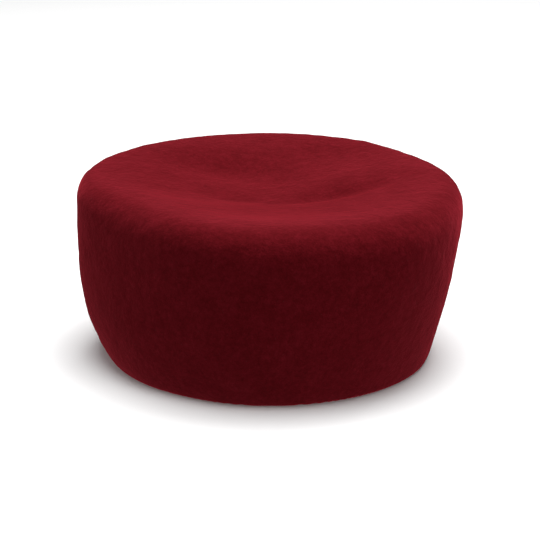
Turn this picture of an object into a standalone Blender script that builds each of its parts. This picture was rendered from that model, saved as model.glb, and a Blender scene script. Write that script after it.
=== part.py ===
# A low brimless cap of thick wool felt, moulded in one piece over a round wooden block.
# Metres, +Z up. It rests on its cut rim at z = 0, under the middle of its crown. Its front faces -Y.

import math

import bmesh
import bpy

# Driving sizes. The felt lies on the outside of the block, so the block's sizes are the cap's inside.
HEAD_GIRTH = 0.550
CROWN_DIAMETER = 0.217
HEIGHT = 0.104
FELT = 0.003
BLOCK_CORNER = 0.012
CROWN_DISH = 0.014
CUT_EDGE_ROUNDING = 0.0007

# How many faces the felt is made of, round the head and along its profile.
STEPS_ROUND = 64
CROWN_RINGS = 12
CORNER_STEPS = 5
WALL_STEPS = 11

# The dish falls from the crest of the crown to its floor: the larger the power, the flatter the floor.
DISH_POWER = 2.2

# The two roundings of the cut edge leave a flat between them: each takes at most this share of the felt.
MOST_ROUNDING = 0.3

# The crown leans forward and a little to the right. Its edge is lower in this direction, in degrees from
# +X, than on the far side, by this share of the height.
LEAN_DIRECTION = -78
LEAN = 0.057

# Points closer than this are one point.
SAME_PLACE = 0.00001

# The felt hangs a little past the cutting line, as a share of the wall's height, until the rim is cut.
SPARE_LENGTH = 0.04

# The cap has lost its block's even shape with wear. A row gives a direction in degrees from +X, the
# corner there as a share of BLOCK_CORNER, and the wall's power: 1 is a straight taper from crown to rim,
# and a larger one keeps the wall upright and draws it in lower down. A row counts most within SIDE_REACH
# degrees of its direction, and the rows run smoothly into each other.
SIDES = [
    # direction, corner, power
    {"direction": 0, "corner": 0.80, "power": 1.4},
    {"direction": 90, "corner": 0.40, "power": 2.4},
    {"direction": 170, "corner": 0.20, "power": 4.4},
    {"direction": 212, "corner": 1.40, "power": 2.6},
    {"direction": 242, "corner": 0.80, "power": 2.5},
    {"direction": 270, "corner": 1.60, "power": 2.4},
    {"direction": 315, "corner": 1.15, "power": 1.6},
]
SIDE_REACH = 28

# Hollows pressed into the crown, and ridges between them, which have a depth below zero. The places and
# half-sizes are shares of the crown's radius, and the depth is a share of CROWN_DISH.
CROWN_DENTS = [
    # x, y, half-length, half-width, turn in degrees, depth
    {"x": -0.28, "y": 0.46, "long": 0.32, "wide": 0.16, "turn": -12, "depth": 0.24},
    {"x": 0.40, "y": 0.62, "long": 0.32, "wide": 0.16, "turn": -14, "depth": 0.15},
    {"x": -0.16, "y": 0.04, "long": 0.16, "wide": 0.08, "turn": 0, "depth": 0.10},
    {"x": 0.38, "y": 0.04, "long": 0.30, "wide": 0.06, "turn": 9, "depth": 0.18},
    {"x": 0.34, "y": 0.24, "long": 0.24, "wide": 0.12, "turn": 8, "depth": -0.14},
]

# Places where the side is pressed flat, and where it bulges, which have a depth below zero. The direction
# and half-width are in degrees, the middle and half-height are shares of the wall's height, and the depth
# is a share of the crown's radius.
WALL_DENTS = [
    # direction, middle, half-width, half-height, depth
    {"direction": 218, "middle": 1.0, "wide": 28, "high": 0.60, "depth": 0.092},
    {"direction": 184, "middle": 0.8, "wide": 14, "high": 0.60, "depth": -0.018},
    {"direction": 240, "middle": 0.3, "wide": 16, "high": 0.50, "depth": 0.012},
    {"direction": 312, "middle": 1.0, "wide": 18, "high": 0.40, "depth": -0.02},
]

head_radius = HEAD_GIRTH / (2 * math.pi)
block_radius = CROWN_DIAMETER / 2 - FELT
block_height = HEIGHT - FELT


def bell(distance, half_size):
    return math.exp(-((distance / half_size) ** 2))


def apart(direction, degrees):
    """How many degrees a direction, in radians, lies from one in degrees."""
    return (math.degrees(direction) - degrees + 180) % 360 - 180


def around(direction, key):
    """One value of SIDES in any direction, each row counting by how near it is."""
    nearness = [bell(apart(direction, side["direction"]), SIDE_REACH) for side in SIDES]
    return sum(near * side[key] for near, side in zip(nearness, SIDES)) / sum(nearness)


def pressed_in(x, y):
    """How far wear has pressed the crown down at a place."""
    depth = 0
    for dent in CROWN_DENTS:
        turn = math.radians(dent["turn"])
        dx = x / block_radius - dent["x"]
        dy = y / block_radius - dent["y"]
        along = dx * math.cos(turn) + dy * math.sin(turn)
        across = dy * math.cos(turn) - dx * math.sin(turn)
        depth += dent["depth"] * CROWN_DISH * bell(along, dent["long"]) * bell(across, dent["wide"])
    return depth


def wall_radius(direction, share):
    """The block's radius at a share of the wall's height, from 0 at the rim to 1 under the corner."""
    drawn_in = (1 - share) ** around(direction, "power")
    radius = block_radius - (block_radius - head_radius) * drawn_in
    for dent in WALL_DENTS:
        turn = apart(direction, dent["direction"])
        shape = bell(turn, dent["wide"]) * bell(share - dent["middle"], dent["high"])
        radius -= dent["depth"] * block_radius * shape
    return radius


def worn_place(place):
    """Where a point of the even block goes on the worn one."""
    radius = math.hypot(place.x, place.y)
    direction = math.atan2(place.y, place.x)
    corner = BLOCK_CORNER * around(direction, "corner")
    crest = wall_radius(direction, 1) - corner
    even_crest = block_radius - BLOCK_CORNER
    above_wall = place.z - (block_height - BLOCK_CORNER)
    wear = 0
    if radius < even_crest:
        share = radius / even_crest
        radius = crest * share
        height = block_height - CROWN_DISH * (1 - share**DISH_POWER) ** 2
        wear = 1
    elif above_wall > 0:
        angle = math.atan2(above_wall, radius - even_crest)
        radius = crest + corner * math.cos(angle)
        height = block_height - corner + corner * math.sin(angle)
        wear = math.sin(angle)
    else:
        share = place.z / (block_height - BLOCK_CORNER)
        radius = wall_radius(direction, share)
        height = share * (block_height - corner)
    x, y = radius * math.cos(direction), radius * math.sin(direction)
    lean = math.radians(LEAN_DIRECTION)
    towards = (x * math.cos(lean) + y * math.sin(lean)) / block_radius
    height *= 1 - LEAN * (1 + towards) / 2
    return x, y, height - wear * pressed_in(x, y)


def block_profile():
    """The even block's outline in the XZ plane, from the crown's middle outwards and down past the rim."""
    wall_top = block_height - BLOCK_CORNER
    crest = block_radius - BLOCK_CORNER
    points = [(crest * ring / CROWN_RINGS, block_height) for ring in range(CROWN_RINGS)]
    for step in range(CORNER_STEPS):
        angle = math.pi / 2 * (1 - step / CORNER_STEPS)
        points.append((crest + BLOCK_CORNER * math.cos(angle), wall_top + BLOCK_CORNER * math.sin(angle)))
    for step in range(WALL_STEPS + 1):
        points.append((block_radius, wall_top * (1 - step / WALL_STEPS)))
    points.append((block_radius, -SPARE_LENGTH * wall_top))
    return [(radius, 0.0, height) for radius, height in points]


def mesh_with(mesh, kind, **settings):
    """A copy of a mesh as one modifier leaves it."""
    carrier = bpy.data.objects.new("carrier", mesh)
    bpy.context.scene.collection.objects.link(carrier)
    modifier = carrier.modifiers.new(kind.title(), kind)
    for name, value in settings.items():
        setattr(modifier, name, value)
    graph = bpy.context.evaluated_depsgraph_get()
    result = bpy.data.meshes.new_from_object(carrier.evaluated_get(graph))
    bpy.data.objects.remove(carrier)
    bpy.data.meshes.remove(mesh)
    return result


def felt_over_block():
    """The felt as it comes off the block, with its spare length still on."""
    points = block_profile()
    outline = bpy.data.meshes.new("block_outline")
    outline.from_pydata(points, [(i, i + 1) for i in range(len(points) - 1)], [])
    block = mesh_with(
        outline,
        "SCREW",
        steps=STEPS_ROUND,
        render_steps=STEPS_ROUND,
        use_merge_vertices=True,
        merge_threshold=SAME_PLACE,
    )
    for vertex in block.vertices:
        vertex.co = worn_place(vertex.co)
    return mesh_with(block, "SOLIDIFY", thickness=FELT, offset=1.0, use_even_offset=True)


def cut_rim(mesh):
    """Cuts the wall level at z = 0, so that the cap stands on its rim, and eases the two cut edges."""
    felt = bmesh.new()
    felt.from_mesh(mesh)
    bmesh.ops.bisect_plane(
        felt,
        geom=felt.verts[:] + felt.edges[:] + felt.faces[:],
        dist=SAME_PLACE,
        plane_co=(0, 0, 0),
        plane_no=(0, 0, -1),
        clear_outer=True,
    )
    cut_edges = [edge for edge in felt.edges if edge.is_boundary]
    bmesh.ops.bridge_loops(felt, edges=cut_edges)
    bmesh.ops.recalc_face_normals(felt, faces=felt.faces[:])
    bmesh.ops.bevel(
        felt,
        geom=cut_edges,
        offset=min(CUT_EDGE_ROUNDING, MOST_ROUNDING * FELT),
        segments=2,
        profile=0.5,
        affect="EDGES",
        material=-1,
    )
    felt.to_mesh(mesh)
    felt.free()


def wool_felt():
    """Deep red wool felt: matt, with no metal in it."""
    material = bpy.data.materials.new("crimson_wool_felt")
    material.use_nodes = True
    shader = material.node_tree.nodes["Principled BSDF"]
    shader.inputs["Base Color"].default_value = (0.20, 0.012, 0.022, 1.0)
    shader.inputs["Roughness"].default_value = 0.95
    shader.inputs["Metallic"].default_value = 0.0
    return material


def clear_scene():
    for obj in list(bpy.data.objects):
        bpy.data.objects.remove(obj, do_unlink=True)


clear_scene()
fez = bpy.data.collections.new("felt_fez_hat")
bpy.context.scene.collection.children.link(fez)

felt_mesh = felt_over_block()
cut_rim(felt_mesh)
felt_mesh.name = "felt_cap"
felt_mesh.materials.clear()
felt_mesh.materials.append(wool_felt())
felt_mesh.shade_smooth()
felt_cap = bpy.data.objects.new("felt_cap", felt_mesh)
fez.objects.link(felt_cap)
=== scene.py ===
import math

import bmesh
import bpy
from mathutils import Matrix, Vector, noise


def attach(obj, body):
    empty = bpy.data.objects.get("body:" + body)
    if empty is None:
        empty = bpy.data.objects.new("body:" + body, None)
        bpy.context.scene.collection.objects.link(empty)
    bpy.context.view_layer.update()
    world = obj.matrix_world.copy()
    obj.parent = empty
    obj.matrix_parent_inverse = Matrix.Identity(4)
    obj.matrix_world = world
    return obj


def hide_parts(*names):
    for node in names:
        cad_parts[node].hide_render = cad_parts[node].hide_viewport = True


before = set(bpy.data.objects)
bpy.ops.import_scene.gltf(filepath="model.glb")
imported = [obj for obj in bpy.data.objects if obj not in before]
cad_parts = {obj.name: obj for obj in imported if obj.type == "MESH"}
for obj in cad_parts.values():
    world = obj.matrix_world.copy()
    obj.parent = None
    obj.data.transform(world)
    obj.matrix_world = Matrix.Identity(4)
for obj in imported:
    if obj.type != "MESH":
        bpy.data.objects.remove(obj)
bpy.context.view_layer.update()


# The felt: one piece of thick wool, blocked damp over a round wooden mould, dyed in the piece and cut
# level at the rim. It has no brim, band, seam or lining, and wear has dished and dented its crown.
SAME_PLACE = 0.00001
ROUNDING_STEPS = 2
FELT_FACE = 0.0017
LOFT = 0.0003
LUMPS = [
    # size of a lump, how far it stands out
    {"size": 0.050, "height": 0.0004},
    {"size": 0.018, "height": 0.00025},
    {"size": 0.0055, "height": 0.00025},
]
CALM_RIM = 0.006


def node_copy(node, name):
    """A piece of its own in the shape of a CAD node, its loose triangles merged back to quads."""
    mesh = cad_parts[node].data.copy()
    mesh.name = name
    form = bmesh.new()
    form.from_mesh(mesh)
    bmesh.ops.remove_doubles(form, verts=form.verts, dist=SAME_PLACE)
    any_angle = math.pi
    bmesh.ops.join_triangles(
        form,
        faces=form.faces,
        angle_face_threshold=any_angle,
        angle_shape_threshold=any_angle,
    )
    form.to_mesh(mesh)
    form.free()
    piece = bpy.data.objects.new(name, mesh)
    bpy.context.scene.collection.objects.link(piece)
    return piece


def apply_modifiers(piece):
    graph = bpy.context.evaluated_depsgraph_get()
    shaped = bpy.data.meshes.new_from_object(piece.evaluated_get(graph))
    piece.modifiers.clear()
    piece.data = shaped


def felted(piece):
    """Rounds a form off and covers it with small even faces, as pressed wool has no edge or facet."""
    rounding = piece.modifiers.new("Rounding", "SUBSURF")
    rounding.levels = rounding.render_levels = ROUNDING_STEPS
    faces = piece.modifiers.new("Even faces", "REMESH")
    faces.mode = "VOXEL"
    faces.voxel_size = FELT_FACE
    apply_modifiers(piece)


def lumpy(piece):
    """Gives the wool its loft and the lumps of felting and handling. Both fade out at the cut rim."""
    form = bmesh.new()
    form.from_mesh(piece.data)
    form.normal_update()
    for vert in form.verts:
        height = LOFT + sum(noise.noise(vert.co / lump["size"]) * lump["height"] for lump in LUMPS)
        vert.co += vert.normal * height * min(1, max(0, vert.co.z / CALM_RIM))
    form.to_mesh(piece.data)
    form.free()


felt = node_copy("felt_cap", "wool_felt_body")
felted(felt)
lumpy(felt)
felt.data.shade_smooth()
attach(felt, "root")
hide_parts("felt_cap")


def linear(colour):
    """An sRGB hex colour as Blender's linear red, green, blue and alpha."""
    parts = [int(colour[i : i + 2], 16) / 255 for i in (1, 3, 5)]
    parts = [part / 12.92 if part <= 0.04045 else ((part + 0.055) / 1.055) ** 2.4 for part in parts]
    return (*parts, 1.0)


def node(tree, kind, links=(), **settings):
    """Adds a node. Links are (input, other node's output). A setting is an input or a property."""
    made = tree.nodes.new(kind)
    for name, value in settings.items():
        if name in made.inputs:
            made.inputs[name].default_value = value
        else:
            setattr(made, name, value)
    for name, output in links:
        tree.links.new(output, made.inputs[name])
    return made


def colour_steps(tree, factor, steps):
    """A colour ramp through (place, hex colour) steps."""
    ramp = node(tree, "ShaderNodeValToRGB", [("Fac", factor)])
    points = ramp.color_ramp.elements
    while len(points) < len(steps):
        points.new(0.5)
    for point, (place, colour) in zip(points, steps):
        point.position = place
        point.color = linear(colour)
    return ramp.outputs["Color"]


# Wool felt, milled, dyed crimson and brushed. The eye sees a matt, slightly mottled red of tiny tangled
# fibres, dark where it turns from the light and with a soft bloom of raised fibre ends along its edges.
CRIMSON_DYE = [
    # tone of the mixed patterns, from 0 to 1, and the dye's colour there
    (0.32, "#650d14"),
    (0.50, "#78131c"),
    (0.68, "#8b1b27"),
]
DYE_CLOUD = 0.011
PEBBLE = 0.0026
PEBBLE_RISE = 0.0006
# The real fibres are some 0.03 mm thick. Their tangle is drawn coarser than that, so that it shows.
TANGLE = 0.0008
TANGLE_RISE = 0.0003
# The tone mixes the clouds with this share of pebbles, and the two with this share of tangle.
PEBBLE_SHARE = 0.6
TANGLE_SHARE = 0.4
# Each pattern has this many finer layers of itself in it.
FINER_LAYERS = 2.0
# How strongly the pebbles and the tangle stand out in relief, from 0 to 1.
PEBBLE_RELIEF = 0.6
TANGLE_RELIEF = 0.7


def wool_felt(name):
    material = bpy.data.materials.new(name)
    material.use_nodes = True
    tree = material.node_tree
    shader = tree.nodes["Principled BSDF"]
    place = [("Vector", node(tree, "ShaderNodeTexCoord").outputs["Object"])]
    clouds = node(tree, "ShaderNodeTexNoise", place, Scale=1 / DYE_CLOUD, Detail=FINER_LAYERS)
    pebbles = node(tree, "ShaderNodeTexNoise", place, Scale=1 / PEBBLE, Detail=FINER_LAYERS)
    tangle = node(tree, "ShaderNodeTexNoise", place, Scale=1 / TANGLE, Detail=FINER_LAYERS)
    tone = node(
        tree,
        "ShaderNodeMix",
        [("A", clouds.outputs["Fac"]), ("B", pebbles.outputs["Fac"])],
        Factor=PEBBLE_SHARE,
    )
    speckled = node(
        tree,
        "ShaderNodeMix",
        [("A", tone.outputs["Result"]), ("B", tangle.outputs["Fac"])],
        Factor=TANGLE_SHARE,
    )
    dye = colour_steps(tree, speckled.outputs["Result"], CRIMSON_DYE)
    tree.links.new(dye, shader.inputs["Base Color"])
    lumps = node(
        tree,
        "ShaderNodeBump",
        [("Height", pebbles.outputs["Fac"])],
        Strength=PEBBLE_RELIEF,
        Distance=PEBBLE_RISE,
    )
    nap = node(
        tree,
        "ShaderNodeBump",
        [("Height", tangle.outputs["Fac"]), ("Normal", lumps.outputs["Normal"])],
        Strength=TANGLE_RELIEF,
        Distance=TANGLE_RISE,
    )
    tree.links.new(nap.outputs["Normal"], shader.inputs["Normal"])
    shader.inputs["Roughness"].default_value = 0.95
    shader.inputs["Metallic"].default_value = 0.0
    shader.inputs["Specular IOR Level"].default_value = 0.04
    shader.inputs["Sheen Weight"].default_value = 1.0
    shader.inputs["Sheen Roughness"].default_value = 0.4
    shader.inputs["Sheen Tint"].default_value = linear("#ff4a5c")
    return material


felt.data.materials.clear()
felt.data.materials.append(wool_felt("crimson_wool_felt"))


# The setting: a plain white floor, which isn't part of the cap. It has a little light of its own, as a
# light table has, and it throws none back on the cap.
FLOOR_SIZE = 12.0
FLOOR_GLOW = 0.06

floor_mesh = bpy.data.meshes.new("white_floor")
flat = bmesh.new()
bmesh.ops.create_grid(flat, x_segments=1, y_segments=1, size=FLOOR_SIZE / 2)
flat.to_mesh(floor_mesh)
flat.free()
floor = bpy.data.objects.new("white_floor", floor_mesh)
floor_only = bpy.data.collections.new("floor_only")
bpy.context.scene.collection.children.link(floor_only)
floor_only.objects.link(floor)
paper = bpy.data.materials.new("white_paper")
paper.use_nodes = True
paper_shader = paper.node_tree.nodes["Principled BSDF"]
paper_shader.inputs["Base Color"].default_value = linear("#f2f2f2")
paper_shader.inputs["Roughness"].default_value = 0.9
paper_shader.inputs["Specular IOR Level"].default_value = 0.1
paper_shader.inputs["Emission Color"].default_value = linear("#ffffff")
paper_shader.inputs["Emission Strength"].default_value = FLOOR_GLOW
floor_mesh.materials.append(paper)
floor.visible_diffuse = False


# The light: one wide soft key high up behind the cap and a little to the right, a weak low fill from
# each side and an even dim room. One more light, almost straight above, falls on the floor alone, so
# that the floor is white up to the cap.
AIM_HEIGHT = 0.08
ROOM_LIGHT = 0.20


def soft_light(name, azimuth, elevation, distance, size, power):
    """A square area light that faces the cap, at an azimuth from +X and an elevation in degrees."""
    lamp = bpy.data.lights.new(name, "AREA")
    lamp.shape = "SQUARE"
    lamp.size = size
    lamp.energy = power
    light = bpy.data.objects.new(name, lamp)
    light.visible_camera = False
    bpy.context.scene.collection.objects.link(light)
    turn, rise = math.radians(azimuth), math.radians(elevation)
    aim = Vector((0, 0, AIM_HEIGHT))
    way = Vector((math.cos(rise) * math.cos(turn), math.cos(rise) * math.sin(turn), math.sin(rise)))
    light.location = aim + way * distance
    light.rotation_euler = way.to_track_quat("Z", "Y").to_euler()
    return light


soft_light("key", azimuth=62, elevation=68, distance=1.7, size=1.2, power=21.2)
soft_light("right_fill", azimuth=-35, elevation=12, distance=2.0, size=0.6, power=4.7)
soft_light("left_fill", azimuth=182, elevation=9, distance=2.0, size=0.6, power=3.6)
floor_light = soft_light("floor_light", azimuth=-90, elevation=83, distance=1.7, size=1.2, power=30)
floor_light.light_linking.receiver_collection = floor_only

room = bpy.data.worlds.new("room")
room.use_nodes = True
room.node_tree.nodes["Background"].inputs["Color"].default_value = (1, 1, 1, 1)
room.node_tree.nodes["Background"].inputs["Strength"].default_value = ROOM_LIGHT
bpy.context.scene.world = room
bpy.context.scene.view_settings.view_transform = "Standard"


# The camera: about a metre in front of the cap, looking down by 17 degrees, with a lens that gives the
# photo's outline from there. The photo doesn't settle how far away its own camera was.
PHOTO_SIDE = 540
FOCAL_PIXELS = 1934
CAMERA_DISTANCE = 1.05
CAMERA_HEIGHT = 0.377
LOOKS_DOWN = 17.4

view = bpy.data.cameras.new("photo_view")
view.sensor_width = 36.0
view.lens = view.sensor_width * FOCAL_PIXELS / PHOTO_SIDE
camera = bpy.data.objects.new("photo_view", view)
camera.location = (0, -CAMERA_DISTANCE, CAMERA_HEIGHT)
camera.rotation_euler = (math.radians(90 - LOOKS_DOWN), 0, 0)
bpy.context.scene.collection.objects.link(camera)
bpy.context.scene.camera = camera
